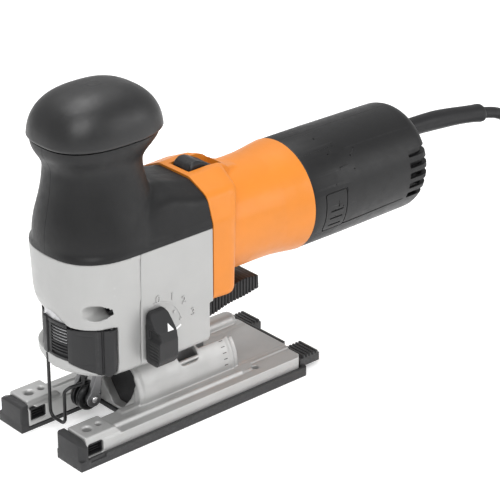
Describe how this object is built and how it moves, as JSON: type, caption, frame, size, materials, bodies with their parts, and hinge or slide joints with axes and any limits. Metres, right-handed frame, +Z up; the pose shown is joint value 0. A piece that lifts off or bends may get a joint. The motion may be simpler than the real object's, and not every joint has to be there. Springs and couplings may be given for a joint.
{
  "type": "jigsaw power tool",
  "caption": "Barrel-grip jigsaw with round knob, orange motor barrel, tilting cast base, pendulum selector, release lever, slide switch and coiled mains cord.",
  "frame": {"origin": "middle of the sole's flat underside, where the tool rests", "axes": "+X towards the cable end, +Z up from the sole, +Y to the side with no selector knob; the blade end is at -X"},
  "size_m": [0.4863, 0.1233, 0.1955],
  "materials": {
    "silver_housing": "satin",
    "cast_base": "satin",
    "inner_casting": "cast",
    "soft_grip": "satin",
    "orange_shell": "semi-gloss",
    "black_shell": "satin",
    "dark_plastic": "satin",
    "grey_shoe": "satin",
    "steel": "ground",
    "bright_pin": "polished",
    "black_steel": "blackened",
    "core_steel": "laminated",
    "copper": "enamelled wire",
    "bronze": "sintered",
    "carbon": "matte",
    "cord_rubber": "satin",
    "strap": "woven"
  },
  "bodies": {
    "body": {"front_cover": "silver_housing", "gear_housing": "silver_housing", "handle_left": "soft_grip", "handle_right": "soft_grip", "knob_cap": "soft_grip", "motor_housing": "orange_shell", "rear_housing_left": "black_shell", "rear_housing_right": "black_shell", "cover_screws": "black_steel", "handle_screws": "steel", "rear_screws": "steel", "bearing_plate": "inner_casting", "gear_bearing": "steel", "front_bearing": "steel", "rear_bearing": "steel", "rear_bracket": "dark_plastic", "stator_core": "core_steel", "stator_coils": "copper", "brush_holders": "bronze", "carbon_brushes": "carbon", "guide_frame": "inner_casting", "lower_bush": "bronze", "upper_bush": "bronze", "pendulum_pin": "bright_pin", "lever_pin": "bright_pin", "wire_guard": "black_steel", "switch_module": "dark_plastic", "base_clamp": "inner_casting", "lock_pin": "bright_pin", "strain_relief": "cord_rubber", "cord_lead": "cord_rubber", "cord_coil": "cord_rubber", "cord_tail": "cord_rubber", "cord_tie": "strap", "plug_body": "cord_rubber", "plug_pins": "bright_pin"},
    "armature": {"armature_shaft": "steel", "pinion": "steel", "armature_core": "core_steel", "armature_windings": "copper", "commutator": "copper", "fan": "dark_plastic"},
    "crank": {"drive_gear": "steel", "gear_shaft": "steel", "crank_pin": "bright_pin", "counterweight": "steel"},
    "plunger": {"plunger_rod": "bright_pin", "yoke": "steel", "blade_clamp": "black_steel"},
    "pendulum": {"pendulum_arm": "inner_casting", "roller_pin": "bright_pin"},
    "roller": {"guide_roller": "steel"},
    "selector": {"selector_knob": "dark_plastic", "selector_shaft": "steel"},
    "lever": {"release_lever": "dark_plastic"},
    "switch": {"switch_slider": "dark_plastic"},
    "base": {"base_plate": "cast_base", "glide_shoe": "grey_shoe"},
    "lock": {"lock_lever": "dark_plastic"}
  },
  "joints": [
    {"name": "armature_spin", "type": "hinge", "parent": "body", "child": "armature", "pos_m": [0, 0, 0.097], "axis": [1, 0, 0], "continuous": true},
    {"name": "crank_spin", "type": "hinge", "parent": "body", "child": "crank", "pos_m": [0, 0, 0.1186], "axis": [1, 0, 0], "continuous": true},
    {"name": "stroke_slide", "type": "slide", "parent": "body", "child": "plunger", "axis": [0, 0, 1], "range_m": [-0.026, 0]},
    {"name": "pendulum_swing", "type": "hinge", "parent": "body", "child": "pendulum", "pos_m": [-0.032, 0, 0.051], "axis": [0, 1, 0], "range_deg": [-4, 0]},
    {"name": "roller_spin", "type": "hinge", "parent": "pendulum", "child": "roller", "pos_m": [-0.0482, 0, 0.0195], "axis": [0, 1, 0], "continuous": true},
    {"name": "selector_turn", "type": "hinge", "parent": "body", "child": "selector", "pos_m": [-0.0255, -0.04, 0.061], "axis": [0, 1, 0], "range_deg": [0, 78]},
    {"name": "release_swing", "type": "hinge", "parent": "body", "child": "lever", "pos_m": [-0.05189, -0.02931, 0.06], "axis": [0, 0, 1], "range_deg": [0, 34], "stiffness_Nm_per_rad": 0.15, "springref_deg": -11.46},
    {"name": "switch_slide", "type": "slide", "parent": "body", "child": "switch", "axis": [1, 0, 0], "range_m": [0, 0.006]},
    {"name": "bevel_tilt", "type": "hinge", "parent": "body", "child": "base", "pos_m": [0, 0, 0.016], "axis": [1, 0, 0], "range_deg": [-45, 45]},
    {"name": "lock_swing", "type": "hinge", "parent": "body", "child": "lock", "pos_m": [0.018, 0, 0.048], "axis": [0, 1, 0], "range_deg": [0, 15]}
  ],
  "couplings": [
    {"joint": "crank_spin", "follows": "armature_spin", "ratio": -0.22727}
  ]
}
